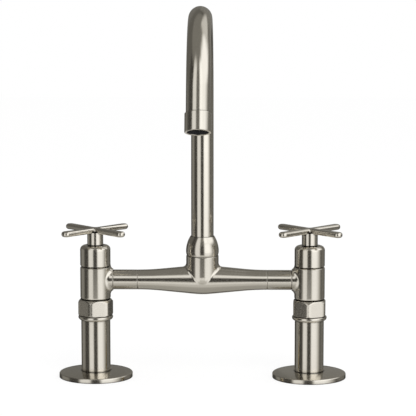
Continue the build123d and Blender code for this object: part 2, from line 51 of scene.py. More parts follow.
# ---- Values that the frame's boxes don't give ----
POST_RADIUS = 13.85
POST_BORE = 7.5
SHANK_SOCKET = 11.25
SHANK_SOCKET_TOP = 17.6
BEAD_HEIGHT = 4.0
SPIGOT_RADIUS = 12.4
SPIGOT_HEIGHT = 7.0
NUT_TOP_FACE = 14.7         # radius of the union nut's top face
NUT_FOOT_FACE = 16.0
NUT_SLOPE = 1.15            # height of the nut's chamfer for each unit of radius
NUT_TURN = {-1: -14.0, 1: -4.0}     # a corner's bearing from the front, in degrees
BODY_RADIUS = 14.42
BOSS_RADIUS = 9.5
BOSS_REACH = 17.0           # from the column's axis to the boss's face
BOSS_FILLET = 5.0
GROOVE_CHAMFER = 1.1        # on both sides of the groove between valve body and bonnet
BRIDGE_HEIGHT = 93.8
TUBE_RADIUS = 9.45
SEAM_ROUND = 0.5            # on both sides of the seam between tube and tee
BOSS_SEAM_ROUND = 0.8       # on the tube, where it meets the boss
TUBE_BORE = 6.0
TUBE_SPIGOT = 8.0
TEE_TAPER = 5.5             # degrees
TEE_FLARE = 23.0
TEE_CROWN = 8.0
TEE_BOSS = 15.35
TEE_DOME_RISE = 4.7
TEE_FILLET = 4.0
HUB_RADIUS = 7.55
ARM_REACH = 35.7
ARM_ROOT = 3.3
ARM_END = 4.5
ARM_THICKNESS = 5.2
ARM_ROUND = 2.4
ARM_SEAT = 0.8              # how far the hub's top reaches into the arms
CROTCH_ROUND = 1.2
SPOUT_RADIUS = 10.6
SPOUT_WALL = 1.2
RISER_TOP = 261.0
BEND_RADIUS = 85.0
BEND_ANGLE = 160.0
NOZZLE = 39.5
COLLAR_RADIUS = 11.7
COLLAR_LENGTH = 17.0
MOUTH_RADIUS = 9.4
MOUTH_DEPTH = 7.0
INSERT_ROOM = 5.2           # between the mouth's ledge and the tube's end
AROUND = 144                # columns round a turned piece
FINE_AROUND = 192           # columns round the flanges and the swivel nut
HAIR = 1e-4                 # closes a cap at its axis
FAR_OUT = 60.0              # lies outside every joint of two bodies

# ---- Values of the finishes and the studio ----
NOISE_RANGE = (0.3, 0.7)    # noise seldom leaves it
SEAM_REACH = 0.0022         # how near a neighbouring surface darkens a seam with painted shade
SEAM_RANGE = (0.45, 0.92)   # openness at which the painted seam shade is darkest, and at which it ends
PAINTED_SEAM_DARK = 0.08            # painted shade in seams, as a share of the dark tone
DEGREES = 57.29578          # in a radian
TENT_SHADE = 0.06
WARM_SHADE, COOL_LIGHT = (1.0, 0.965, 0.87), (1.0, 1.0, 1.0)
TENT_RADIUS = 2.0
BRIDGE_TENT_RADIUS = 1.9
HANDLE_TENT_RADIUS = 1.8
FLOOR_REACH = 3.0
FLOOR_TONE = 0.9
FLOOR_GLOW = 1.06
FLOOR_GLOW_SHARE = 0.72     # of what the camera sees of the deck
CAMERA_PLACE = (0.0430, -2.0, 0.4458)
CAMERA_TILT = 8.06          # degrees down
CAMERA_TURN = 1.08          # degrees to the left
CAMERA_LENS = 185.07

SIDES = ((-1, "left"), (1, "right"))


def node_span(node):
    """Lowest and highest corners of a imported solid, in millimetres."""
    low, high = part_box(node)
    return np.array(low) / MM, np.array(high) / MM


post_low, post_high = node_span("right_post")
COLUMN_X = post_low[0] + (post_high[0] - post_low[0]) / 2


# ---- Meshes ----
def make_piece(name, grids):
    """One closed mesh from grids of points (rows, columns, 3), whose shared edges are merged."""
    points, faces, start = [], [], 0
    for grid in grids:
        rows, columns = grid.shape[:2]
        index = start + np.arange(rows * columns).reshape(rows, columns)
        quads = np.stack([index[:-1, :-1], index[:-1, 1:], index[1:, 1:], index[1:, :-1]], axis=-1)
        points.append(grid.reshape(-1, 3))
        faces.append(quads.reshape(-1, 4))
        start += rows * columns
    points = np.concatenate(points) * MM
    faces = np.concatenate(faces)
    mesh = bpy.data.meshes.new(name)
    mesh.vertices.add(len(points))
    mesh.vertices.foreach_set("co", points.astype(np.float32).ravel())
    mesh.loops.add(faces.size)
    mesh.loops.foreach_set("vertex_index", faces.astype(np.int32).ravel())
    mesh.polygons.add(len(faces))
    mesh.polygons.foreach_set("loop_start", np.arange(0, faces.size, 4, dtype=np.int32))
    mesh.update(calc_edges=True)
    work = bmesh.new()
    work.from_mesh(mesh)
    bmesh.ops.remove_doubles(work, verts=work.verts, dist=2e-6)
    bmesh.ops.dissolve_degenerate(work, edges=work.edges, dist=1e-7)
    bmesh.ops.recalc_face_normals(work, faces=work.faces)
    work.to_mesh(mesh)
    work.free()
    mesh.polygons.foreach_set("use_smooth", np.ones(len(mesh.polygons), dtype=bool))
    mesh.set_sharp_from_angle(angle=np.radians(40))
    piece = bpy.data.objects.new(name, mesh)
    bpy.context.scene.collection.objects.link(piece)
    return piece


def fit_piece(piece, body, slot, material, *nodes):
    """Gives a piece its body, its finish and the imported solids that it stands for."""
    piece.data.materials.clear()
    piece.data.materials.append(material)
    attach(piece, body)
    if nodes:
        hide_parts(*nodes)
    return piece


# ---- Outlines in the plane of radius and height ----
def corner_arc(before, corner, after, size, steps=7):
    """The arc of radius `size` that is tangent to both sides of a corner.

    It starts and ends at size / tan(half the corner's angle) from the corner, and its centre
    lies on the bisector at size / sin(half the angle).
    """
    back = (before - corner) / np.linalg.norm(before - corner)
    ahead = (after - corner) / np.linalg.norm(after - corner)
    half = np.arccos(np.clip(back @ ahead, -1, 1)) / 2
    bisector = (back + ahead) / np.linalg.norm(back + ahead)
    centre = corner + bisector * size / np.sin(half)
    start = corner + back * size / np.tan(half) - centre
    end = corner + ahead * size / np.tan(half) - centre
    turn = np.arctan2(start[0] * end[1] - start[1] * end[0], start @ end)
    angle = turn * np.linspace(0, 1, steps + 1)[:, None]
    across = np.array([-start[1], start[0]])
    return centre + start * np.cos(angle) + across * np.sin(angle)


def soft_outline(corners, longest=4.0, support=0.12):
    """A closed outline from corners (radius, height, round), with long straight runs divided.

    Each run also gets a point close to each of its ends, which keeps the shading flat there.
    """
    corners = np.array(corners, float)
    place, size = corners[:, :2], corners[:, 2]
    count = len(corners)
    arcs = []
    for i in range(count):
        if size[i] > 0:
            arcs.append(corner_arc(place[i - 1], place[i], place[(i + 1) % count], size[i]))
        else:
            arcs.append(place[i][None])
    outline = []
    for i, arc in enumerate(arcs):
        start, end = arc[-1], arcs[(i + 1) % count][0]
        run = np.linalg.norm(end - start)
        outline.append(arc)
        if run > support * 4:
            inner = np.linspace(support / run, 1 - support / run, max(2, int(run / longest) + 1))
            outline.append(start + (end - start) * inner[:, None])
    return np.concatenate(outline + [outline[0][:1]])


def bulge(start, end, depth, steps=14):
    """Corners (radius, height, 0) along a circular arc from start to end that bows by `depth`.

    Positive depth bows to the left of the way from start to end. The arc's radius is
    (chord squared / 4 + depth squared) / (2 depth).
    """
    start, end = np.array(start, float), np.array(end, float)
    chord = np.linalg.norm(end - start)
    along = (end - start) / chord
    left = np.array([-along[1], along[0]])
    radius = (chord ** 2 / 4 + depth ** 2) / (2 * abs(depth))
    half = np.arcsin(min(1.0, chord / 2 / radius))
    angle = np.linspace(-half, half, steps + 1)[:, None]
    rise = radius * (np.cos(angle) - np.cos(half)) * np.sign(depth)
    arc = (start + end) / 2 + along * radius * np.sin(angle) + left * rise
    return [(across, up, 0) for across, up in arc]


def turn_outline(outline, around=AROUND):
    """A surface of revolution about Z: each outline point goes round the axis at its own radius."""
    angle = np.linspace(0, 2 * np.pi, around + 1)
    radius, height = outline[:, :1], outline[:, 1:]
    return np.stack([radius * np.cos(angle), radius * np.sin(angle), height + 0 * angle], axis=-1)


def moved(grid, x=0.0, y=0.0, z=0.0):
    """The same grid at another place."""
    return grid + np.array([x, y, z])


def laid_along_x(grid):
    """A grid that was turned about Z, with its axis laid along X."""
    return np.stack([grid[..., 2], grid[..., 1], -grid[..., 0]], axis=-1)


def turned_piece(name, corners, x=0.0, around=AROUND):
    """A piece turned about the upright axis at x, from its outline's corners."""
    return make_piece(name, [moved(turn_outline(soft_outline(corners), around), x)])


# ---- Hexagon nuts ----
def soft_least(first, second, blend):
    """The lesser of two arrays, rounded where they are nearly equal."""
    share = np.clip(0.5 + 0.5 * (second - first) / blend, 0, 1)
    return second + (first - second) * share - blend * share * (1 - share)


def hexagon_grid(across, foot, top, bore, bearing, foot_face=None, top_face=None, slope=NUT_SLOPE):
    """A hexagon nut about Z.

    The radius is the lesser of the hexagon, which is half its width over flats divided by the
    cosine of the angle from the flat's middle, and of the chamfer's cones at foot and top. Columns
    crowd towards the corners, where the rounding is.
    """
    corner_cut, corner_blend, cone_blend, rim = 0.45, 0.9, 0.35, 0.35
    flat_columns, flat_rows, rim_rows, face_rows = 31, 44, 5, 4
    side = np.pi / 6 * np.sin(np.linspace(-np.pi / 2, np.pi / 2, flat_columns))
    angle = np.concatenate([side[:-1] + np.pi / 3 * k for k in range(6)] + [[side[0] + 2 * np.pi]])
    off_flat = (angle + np.pi / 6) % (np.pi / 3) - np.pi / 6
    flat = across / 2 / np.cos(off_flat)
    corner = across / np.sqrt(3) - corner_cut
    flat = soft_least(flat, corner + 0 * flat, corner_blend)
    height = np.concatenate([
        foot + rim * (1 - np.cos(np.linspace(0, np.pi / 2, rim_rows))),
        np.linspace(foot + rim, top - rim, flat_rows)[1:-1],
        top - rim * (1 - np.cos(np.linspace(np.pi / 2, 0, rim_rows))),
    ])
    radius = flat[None] + 0 * height[:, None]
    for face, reach in ((foot_face, height - foot), (top_face, top - height)):
        if face is not None:
            cone = face + reach / slope
            radius = soft_least(radius, cone[:, None] + 0 * radius, cone_blend)
    edge = np.minimum(height - foot, top - height)
    pull = rim - np.sqrt(np.maximum(rim ** 2 - np.maximum(rim - edge, 0) ** 2, 0))
    radius = radius - pull[:, None]
    share = np.linspace(0, 1, face_rows)[:, None]
    top_rows = radius[-1] * (1 - share) + bore * share
    foot_rows = (radius[0] * (1 - share) + bore * share)[::-1]
    radius = np.concatenate([foot_rows, radius, top_rows, foot_rows[:1]])
    levels = np.concatenate([np.full(face_rows, foot), height, np.full(face_rows, top), [foot]])
    angle = angle + np.radians(bearing - 90) - np.pi / 6
    return np.stack([
        radius * np.cos(angle), radius * np.sin(angle), levels[:, None] + 0 * radius,
    ], axis=-1)


# ---- Tee joints ----
def blended_union(first, second, radius, facing):
    """Distance to two joined bodies with a fillet in the corner between them.

    `facing` is the cosine of the angle between the bodies' normals. The fillet's size is its
    radius where they stand square, and falls as one less the cosine of half the angle, so that a
    shallow corner stays crisp. The distance is the greater of the size and the lesser distance,
    less the length of how far each distance falls short of the size.
    """
    half_cosine = np.sqrt(np.clip((1 + facing) / 2, 0, 1))
    size = np.maximum(radius * (1 - half_cosine) / (1 - np.sqrt(0.5)), 0.05)
    short_first = np.maximum(size - first, 0)
    short_second = np.maximum(size - second, 0)
    return np.maximum(size, np.minimum(first, second)) - np.hypot(short_first, short_second)


def solve_outwards(distance, like, steps=44):
    """Where `distance` crosses zero along rays, by halving their stretch. Shaped as `like`."""
    near, far = 0 * like, 0 * like + FAR_OUT
    for _ in range(steps):
        middle = (near + far) / 2
        inside = distance(middle) < 0
        near = np.where(inside, middle, near)
        far = np.where(inside, far, middle)
    return (near + far) / 2


def tee_quarter(run_radius, branch_distance, fillet, run_end, branch_end, rows, columns=40):
    """A quarter of a tee joint: the run lies along +X, the branch stands along +Z, at -Y.

    The seam between run and branch lies in the plane x = z. Below it, rays go out square from the
    run's axis, above it, level rays go out from the branch's axis, and each stops where the
    blended union of the two bodies ends.
    """
    def distance(x, y, z):
        off_axis = np.maximum(np.hypot(y, z), HAIR)
        slope = (run_radius(x + 0.01) - run_radius(x - 0.01)) / 0.02
        branch, branch_normal = branch_distance(x, y, z)
        facing = (y * branch_normal[1] + z * branch_normal[2]) / off_axis
        facing = (-slope * branch_normal[0] + facing) / np.hypot(slope, 1)
        return blended_union(off_axis - run_radius(x), branch, fillet, facing)

    rise = np.linspace(0, np.pi / 2, columns)
    seam = solve_outwards(
        lambda s: distance(s * np.sin(rise), -s * np.cos(rise), s * np.sin(rise)), rise)
    round_run = np.concatenate([np.linspace(-np.pi / 2, 0, columns)[:-1], rise])
    first_x = np.concatenate([np.zeros(columns - 1), seam * np.sin(rise)])
    share = np.linspace(0, 1, rows[0])[:, None] ** 1.35
    x = first_x + (run_end - first_x) * share
    reach = solve_outwards(lambda s: distance(x, -s * np.cos(round_run), s * np.sin(round_run)), x)
    run_grid = np.stack([x, -reach * np.cos(round_run), reach * np.sin(round_run)], axis=-1)
    low = seam * np.sin(rise)
    share = np.linspace(0, 1, rows[1])[:, None]
    z = low + (branch_end - low) * share
    reach = solve_outwards(lambda s: distance(s * np.sin(rise), -s * np.cos(rise), z), z)
    branch_grid = np.stack([reach * np.sin(rise), -reach * np.cos(rise), z], axis=-1)
    seam_points = np.stack([low, -seam * np.cos(rise), low], axis=-1)
    run_grid[0, columns - 1:] = seam_points
    branch_grid[0] = seam_points
    return run_grid, branch_grid


def closed_end(ring, axis, size, chamfer=False, bore=HAIR):
    """Rows that round or chamfer an end's rim by `size` and then run flat to its bore.

    `ring` is the last row, `axis` the coordinate that the end faces. Off the axis, each row is the
    ring drawn in towards the axis, by a quarter circle or in proportion to its height.
    """
    others = [k for k in range(3) if k != axis]
    radius = np.linalg.norm(ring[:, others], axis=1)
    sign = np.sign(ring[0, axis])
    if chamfer:
        rows = [(radius - size * share, size * share) for share in (0.06, 0.94, 1.0)]
    else:
        turns = np.linspace(0, np.pi / 2, 7)[1:]
        rows = [(radius - size * (1 - np.cos(turn)), size * np.sin(turn)) for turn in turns]
    last = rows[-1][0]
    for share in (0.03, 0.5, 1.0):
        rows.append((last * (1 - share) + bore * share, size))
    out = np.zeros((len(rows) + 1,) + ring.shape)
    out[0] = ring
    for row, (reach, lift) in enumerate(rows):
        out[row + 1] = ring
        out[row + 1][:, others] = ring[:, others] * (reach / radius)[:, None]
        out[row + 1][:, axis] = ring[:, axis] + sign * lift
    return out


def mirrored(grids, *axes):
    """The grids and their mirror images across each named axis."""
    for axis in axes:
        flip = np.ones(3)
        flip[axis] = -1
        grids = grids + [grid * flip for grid in grids]
    return grids


# ---- Deck hardware and posts ----
def base_flange(side, name):
    """A crowned plate on the deck, with the gasket's groove in its foot.

    Its rim ends in a quarter circle, and its crown rises to the post on a slight arc.
    """
    low, high = node_span(name + "_base_flange")
    radius, crown, bore = (high[0] - low[0]) / 2, high[2], POST_RADIUS + 0.1
    edge, edge_round, foot_round, crown_bow = 4.6, 1.3, 0.25, -0.45
    groove_inner, groove_outer, groove_top = 23.9, 30.1, 2.2
    corners = [
        (bore, 0, 0), (groove_inner, 0, 0), (groove_inner, groove_top, 0),
        (groove_outer, groove_top, 0), (groove_outer, 0, 0), (radius, 0, foot_round),
        (radius, edge - edge_round, 0),
    ]
    for turn in np.linspace(0, np.pi / 2, 9)[1:-1]:
        inwards, down = edge_round * (1 - np.cos(turn)), edge_round * (1 - np.sin(turn))
        corners.append((radius - inwards, edge - down, 0))
    corners += bulge((radius - edge_round, edge), (bore, crown), crown_bow)
    return turned_piece(name + "_flange_plate", corners, side * COLUMN_X, FINE_AROUND)


def post(side, name):
    """A plain post with a bead at its top, a spigot above it and the shank's socket in its foot."""
    low, high = node_span(name + "_post")
    bead = (high[0] - low[0]) / 2
    bead_top = high[2] - SPIGOT_HEIGHT
    bead_foot = bead_top - BEAD_HEIGHT
    root_round, belly_round, shoulder_round, spigot_round = 0.3, 2.4, 1.2, 0.4
    return turned_piece(name + "_post_turned", [
        (SHANK_SOCKET, 0, 0), (POST_RADIUS, 0, 0), (POST_RADIUS, bead_foot, root_round),
        (bead, bead_foot, belly_round), (bead, bead_top, shoulder_round),
        (SPIGOT_RADIUS, bead_top, 0), (SPIGOT_RADIUS, high[2], spigot_round),
        (POST_BORE, high[2], 0), (POST_BORE, SHANK_SOCKET_TOP, 0),
        (SHANK_SOCKET, SHANK_SOCKET_TOP, 0),
    ], side * COLUMN_X)


def threaded(radius, foot, top, pitch, depth, around, rows_per_turn=9):
    """Rows of a screw thread: the radius falls by `depth` in a wave that climbs with the angle.

    The wave is half of one less the cosine of the turns climbed less the angle. It fades out over
    a pitch at both ends.
    """
    height = np.linspace(foot, top, int((top - foot) / pitch * rows_per_turn))[:, None]
    angle = np.linspace(0, 2 * np.pi, around + 1)[None]
    wave = 0.5 - 0.5 * np.cos(2 * np.pi * height / pitch - angle)
    fade = np.clip(np.minimum(height - foot, top - height) / pitch, 0, 1)
    reach = radius - depth * wave * fade
    return np.stack([reach * np.cos(angle), reach * np.sin(angle), height + 0 * angle], axis=-1)


def supply_shank(side, name):
    """A hollow shank, plain within the deck, with a thread for the lock nut and one at the inlet.

    The turned rows and the rows of the two threads follow each other round one closed outline.
    """
    low, high = node_span(name + "_supply_shank")
    deck_foot, thread_foot = -30.0, -52.0
    bore, inlet, thread, plain, screw = 6.0, 10.48, 12.0, 11.6, 11.2
    top_round, inlet_round, around = 0.5, 0.4, 96
    turned = turn_outline(soft_outline([
        (thread, deck_foot, 0), (plain, deck_foot, 0), (plain, 0, 0), (screw, 0, 0),
        (screw, high[2], top_round), (bore, high[2], 0), (bore, low[2], 0),
        (inlet, low[2], inlet_round),
    ])[:-1], around)
    rows = np.concatenate([
        turned,
        threaded(inlet, low[2] + inlet_round, thread_foot, pitch=1.81, depth=0.9, around=around),
        threaded(thread, thread_foot, deck_foot, pitch=1.5, depth=0.75, around=around),
        turned[:1],
    ])
    return make_piece(name + "_shank_threaded", [moved(rows, side * COLUMN_X)])


def deck_washer(side, node, edge_round):
    """A flat ring round the shank, under the deck."""
    low, high = node_span(node)
    radius, bore = (high[0] - low[0]) / 2, 12.1
    return turned_piece(node + "_ring", [
        (bore, low[2], edge_round), (radius, low[2], edge_round),
        (radius, high[2], edge_round), (bore, high[2], edge_round),
    ], side * COLUMN_X)


def rubber_washer(side, name):
    """The soft washer against the deck."""
    return deck_washer(side, name + "_rubber_washer", 0.6)


def steel_washer(side, name):
    """The hard washer above the lock nut."""
    return deck_washer(side, name + "_steel_washer", 0.25)


def lock_nut(side, name):
    """The hexagon nut that draws the shank down, with a 30 degree chamfer at its foot."""
    low, high = node_span(name + "_lock_nut")
    across, bore, bearing = 32.0, 12.05, 0
    grid = hexagon_grid(across, low[2], high[2], bore, bearing, foot_face=15.6, slope=0.577)
    return make_piece(name + "_lock_nut_hexagon", [moved(grid, side * COLUMN_X)])


def union_nut(side, name):
    """The hexagon nut between post and valve body, chamfered at foot and top."""
    low, high = node_span(name + "_union_nut")
    across, bore = 30.2, SPIGOT_RADIUS + 0.05
    grid = hexagon_grid(
        across, low[2], high[2], bore, NUT_TURN[side],
        foot_face=NUT_FOOT_FACE, top_face=NUT_TOP_FACE)
    return make_piece(name + "_union_nut_hexagon", [moved(grid, side * COLUMN_X)])


# ---- Valve bodies, bonnets and handles ----
def valve_body(side, name):
    """A turned body with a boss towards the bridge, and a fillet along the seam between them.

    It is a tee joint whose run stands upright: an upper and a lower half of two quarters each.
    """
    low, high = node_span(name + "_valve_body")
    boss_round, foot_round = 0.9, 1.8

    def column(x):
        """The body's radius, the same at every height."""
        return BODY_RADIUS + 0 * x

    def boss(x, y, z):
        """Distance to the boss, a cylinder with a round end, and its normal."""
        below = np.minimum(z, 0)
        reach = np.maximum(np.sqrt(x ** 2 + y ** 2 + below ** 2), HAIR)
        return reach - BOSS_RADIUS, (x / reach, y / reach, below / reach)

    halves = (
        (-1, BRIDGE_HEIGHT - low[2] - foot_round, foot_round, False),
        (1, high[2] - GROOVE_CHAMFER - BRIDGE_HEIGHT, GROOVE_CHAMFER, True),
    )
    grids = []
    for direction, end, size, chamfer in halves:
        run, branch = tee_quarter(
            column, boss, BOSS_FILLET, end, BOSS_REACH - boss_round, rows=(56, 36))
        ends = [closed_end(run[-1], 0, size, chamfer), closed_end(branch[-1], 2, boss_round)]
        for grid in mirrored([run, branch] + ends, 1):
            x, y, z = np.moveaxis(grid, -1, 0)
            placed = np.stack([-side * z, y, direction * x + BRIDGE_HEIGHT], axis=-1)
            grids.append(moved(placed, side * COLUMN_X))
    return make_piece(name + "_valve_body_cast", grids)


def valve_bonnet(side, name):
    """A domed cap over the headwork, chamfered at its foot, with a hole for the spindle."""
    low, high = node_span(name + "_valve_bonnet")
    radius, thread, hole, wall = (high[0] - low[0]) / 2, 12.0, 5.2, 4.0
    foot_round, side_round, dome_round, hole_round = 0.05, 0.12, 4.0, 0.2
    return turned_piece(name + "_bonnet_domed", [
        (thread, low[2], 0), (radius - GROOVE_CHAMFER, low[2], foot_round),
        (radius, low[2] + GROOVE_CHAMFER, side_round), (radius, high[2], dome_round),
        (hole, high[2], hole_round), (hole, high[2] - wall, 0), (thread, high[2] - wall, 0),
    ], side * COLUMN_X)


def arm_outline(inset, steps=(14, 26, 20)):
    """Half of a paddle arm's edge, from the middle of the crotch to the tip, drawn in by `inset`.

    The arm is the hull of a small circle at the hub and a larger one at its end, so its side is
    their common tangent. The crotch is an arc tangent to the sides of both arms, and its centre
    lies on the bisector. Each point moves along its own normal by the inset.
    """
    lean = np.arcsin((ARM_END - ARM_ROOT) / ARM_REACH)
    normal = np.array([-np.sin(lean), np.cos(lean)])
    bisector = np.array([1.0, 1.0]) / np.sqrt(2)
    centre = bisector * (ARM_ROOT + CROTCH_ROUND) / (normal @ bisector)
    turn = np.radians(225) + (np.radians(45) + lean) * np.linspace(0, 1, steps[0])
    crotch_normal = -np.stack([np.cos(turn), np.sin(turn)], axis=-1)
    crotch = centre - CROTCH_ROUND * crotch_normal
    end = np.array([ARM_REACH, 0]) + ARM_END * normal
    share = np.linspace(0, 1, steps[1])[1:-1, None]
    straight = crotch[-1] + (end - crotch[-1]) * share
    straight_normal = normal + 0 * straight
    turn = (np.pi / 2 + lean) * np.linspace(1, 0, steps[2])
    tip_normal = np.stack([np.cos(turn), np.sin(turn)], axis=-1)
    tip = np.array([ARM_REACH, 0]) + ARM_END * tip_normal
    points = np.concatenate([crotch, straight, tip])
    normals = np.concatenate([crotch_normal, straight_normal, tip_normal])
    return points - inset * normals


def cross_grid(foot):
    """The four arms as one plate: rows go in from its middle line over rounded edges and back.

    Each row is the outline, drawn in by the rounding's share, and the last rows run to the arms'
    middle lines, where a point's place is how far along the arm its edge point lies.
    """
    turn = np.linspace(0, np.pi / 2, 8)
    levels = [(ARM_ROUND * (1 - np.sin(a)), ARM_ROUND * (1 - np.cos(a))) for a in turn]
    middle = [(0.0, h) for h in np.linspace(ARM_ROUND, ARM_THICKNESS - ARM_ROUND, 4)[1:-1]]
    over = [(inset, ARM_THICKNESS - height) for inset, height in levels[::-1]]
    edge = arm_outline(0)
    along = np.clip(edge[:, 0], 0, ARM_REACH)
    spine = np.zeros_like(edge)
    spine[:, 0] = np.clip((along - along[0]) / (ARM_REACH - along[0]), 0, 1) * ARM_REACH
    near_edge = spine + (arm_outline(ARM_ROUND) - spine) * 0.9
    rows = [(spine, 0.0), (near_edge, 0.0)]
    rows += [(arm_outline(inset), height) for inset, height in levels + middle + over]
    rows += [(near_edge, ARM_THICKNESS), (spine, ARM_THICKNESS)]
    half = np.stack([
        np.column_stack([plan, np.full(len(plan), foot + height)]) for plan, height in rows])
    grids = []
    for grid in mirrored([half], 1):
        for quarter in range(4):
            turn = np.radians(45 + 90 * quarter)
            x, y, z = np.moveaxis(grid, -1, 0)
            cosine, sine = np.cos(turn), np.sin(turn)
            grids.append(np.stack([x * cosine - y * sine, x * sine + y * cosine, z], axis=-1))
    return grids


def combine(piece, other, operation):
    """Joins another mesh to a piece, or cuts it out of it, and drops the other."""
    modifier = piece.modifiers.new(operation.lower(), "BOOLEAN")
    modifier.operation = operation
    modifier.solver = "EXACT"
    modifier.object = other
    bpy.context.view_layer.update()
    depsgraph = bpy.context.evaluated_depsgraph_get()
    shaped = bpy.data.meshes.new_from_object(piece.evaluated_get(depsgraph))
    piece.modifiers.clear()
    piece.data = shaped
    bpy.data.objects.remove(other)
    shaped.polygons.foreach_set("use_smooth", np.ones(len(shaped.polygons), dtype=bool))
    shaped.set_sharp_from_angle(angle=np.radians(30))
    return piece


def cross_handle(side, name):
    """Four arms joined to a hub that is bored for the spindle and drilled for its screw."""
    low, high = node_span(name + "_cross_handle")
    arm_foot = high[2] - ARM_THICKNESS
    hub_top = arm_foot + ARM_SEAT
    bore_top = node_span(name + "_spindle")[1][2] + 0.4
    bore, hub_round, grub_height, grub_radius, grub_reach = 4.55, 0.5, 5.3, 1.55, HUB_RADIUS * 2
    shift = side * COLUMN_X
    arms = [moved(grid, shift) for grid in cross_grid(arm_foot)]
    handle = make_piece(name + "_handle_cross", arms)
    hub = turned_piece(name + "_hub", [
        (HAIR, bore_top, 0), (bore, bore_top, 0), (bore, low[2], 0),
        (HUB_RADIUS, low[2], hub_round), (HUB_RADIUS, hub_top, 0), (HAIR, hub_top, 0),
    ], shift)
    drill_outline = soft_outline([
        (HAIR, 0, 0), (grub_radius, 0, 0), (grub_radius, grub_reach, 0), (HAIR, grub_reach, 0)])
    to_the_back = laid_along_x(turn_outline(drill_outline, 48))[..., [1, 0, 2]]
    drill = make_piece(name + "_grub_hole", [moved(to_the_back, shift, 0, low[2] + grub_height)])
    combine(handle, hub, "UNION")
    return combine(handle, drill, "DIFFERENCE")


# ---- Bridge ----
def bridge_tube(side, name):
    """A tube between tee and valve body, turned along X, with a spigot into each of them."""
    low, high = node_span(name + "_bridge_tube")
    inner = node_span("bridge_tee")[1][0]
    outer = COLUMN_X - BOSS_REACH
    near, far = min(abs(low[0]), abs(high[0])), max(abs(low[0]), abs(high[0]))
    end_round = 0.3
    outline = soft_outline([
        (TUBE_BORE, near, 0), (TUBE_SPIGOT, near, end_round), (TUBE_SPIGOT, inner, 0),
        (TUBE_RADIUS, inner, SEAM_ROUND), (TUBE_RADIUS, outer, BOSS_SEAM_ROUND),
        (TUBE_SPIGOT, outer, 0), (TUBE_SPIGOT, far, end_round), (TUBE_BORE, far, 0),
    ])
    grid = laid_along_x(turn_outline(outline))
    grid[..., 0] *= side
    return make_piece(name + "_bridge_tube_turned", [moved(grid, 0, 0, BRIDGE_HEIGHT)])


def bridge_tee():
    """Two trumpet arms and an upright boss with a round foot, joined with a fillet.

    An arm's radius runs on an arc tangent to the tube, a straight taper, and an arc over the
    middle that is tangent to both tapers. The arcs' radii are their length over the taper's sine.
    """
    high = node_span("bridge_tee")[1]
    half, top = high[0], high[2] - BRIDGE_HEIGHT
    end_round, top_round = SEAM_ROUND, 0.6
    slope = np.radians(TEE_TAPER)
    flare_arc = TEE_FLARE / np.sin(slope)
    flare_start = half - TEE_FLARE
    flare_end = TUBE_RADIUS + flare_arc * (1 - np.cos(slope))
    taper_end = flare_end + (flare_start - TEE_CROWN) * np.tan(slope)
    crown_arc = TEE_CROWN / np.sin(slope)

    def arm(x):
        """The trumpet's radius, by how far it is from the middle."""
        x = np.abs(x)
        out = np.clip(half - x, 0, TEE_FLARE)
        flare = TUBE_RADIUS + flare_arc - np.sqrt(flare_arc ** 2 - out ** 2)
        taper = flare_end + (flare_start - x) * np.tan(slope)
        inner = np.minimum(x, TEE_CROWN)
        crown = taper_end + np.sqrt(crown_arc ** 2 - inner ** 2) - crown_arc * np.cos(slope)
        return np.where(x < TEE_CROWN, crown, np.where(x < flare_start, taper, flare))

    def boss(x, y, z):
        """Distance to the boss, a cylinder on a half sphere, and its normal."""
        below = np.minimum(z - TEE_DOME_RISE, 0)
        reach = np.maximum(np.sqrt(x ** 2 + y ** 2 + below ** 2), HAIR)
        return reach - TEE_BOSS, (x / reach, y / reach, below / reach)

    run, branch = tee_quarter(
        arm, boss, TEE_FILLET, half - end_round, top - top_round, rows=(110, 44), columns=48)
    quarter = [run, branch, closed_end(run[-1], 0, end_round), closed_end(branch[-1], 2, top_round)]
    grids = [moved(grid, 0, 0, BRIDGE_HEIGHT) for grid in mirrored(quarter, 0, 1)]
    return make_piece("bridge_tee_cast", grids)


# ---- Spout ----
def level_arc(run, depth, place):
    """How far a circular arc has drawn in at a place along its run, if it starts out level."""
    radius = (run ** 2 + depth ** 2) / (2 * depth)
    return radius - np.sqrt(radius ** 2 - place ** 2)


def swivel_nut():
    """The bell that holds the spout down, between the tee's boss and the riser.

    Two arcs leave its belly level, one down to the foot and one up to the lip.
    """
    low, high = node_span("swivel_nut")
    foot = node_span("bridge_tee")[1][2]
    belly, bore, thread = (high[0] - low[0]) / 2, 10.9, 12.95
    belly_rise, foot_draw, foot_round, lip = 4.1, 0.8, 0.25, 0.45
    belly_height = foot + belly_rise
    neck = high[2] - foot - belly_rise
    neck_draw = belly - bore - lip
    corners = [(thread, low[2], 0), (thread, foot, 0)]
    for place in np.linspace(belly_rise, 0, 8):
        size = 0 if place < belly_rise else foot_round
        radius = belly - level_arc(belly_rise, foot_draw, place)
        corners.append((radius, belly_height - place, size))
    for place in np.linspace(0, neck, 40)[1:]:
        corners.append((belly - level_arc(neck, neck_draw, place), belly_height + place, 0))
    corners += [(bore, high[2], 0), (bore, low[2], 0)]
    return turned_piece("swivel_nut_bell", corners, around=FINE_AROUND)


def bend_point(angle):
    """Where the bend's centre line is after turning by an angle: (0, y, z)."""
    return np.hstack([
        0 * angle, BEND_RADIUS * (np.cos(angle) - 1), RISER_TOP + BEND_RADIUS * np.sin(angle)])


def nozzle_piece(name, corners):
    """A piece turned about the nozzle's axis. Its outline's heights count up from the mouth."""
    lean = np.radians(180 - BEND_ANGLE)
    level, up = np.array([1.0, 0, 0]), np.array([0, np.sin(lean), np.cos(lean)])
    across = np.cross(up, level)
    mouth = bend_point(np.radians(BEND_ANGLE)) - up * NOZZLE
    grid = turn_outline(soft_outline(corners))
    grid = mouth + grid[..., :1] * level + grid[..., 1:2] * across + grid[..., 2:] * up
    return make_piece(name, [grid])


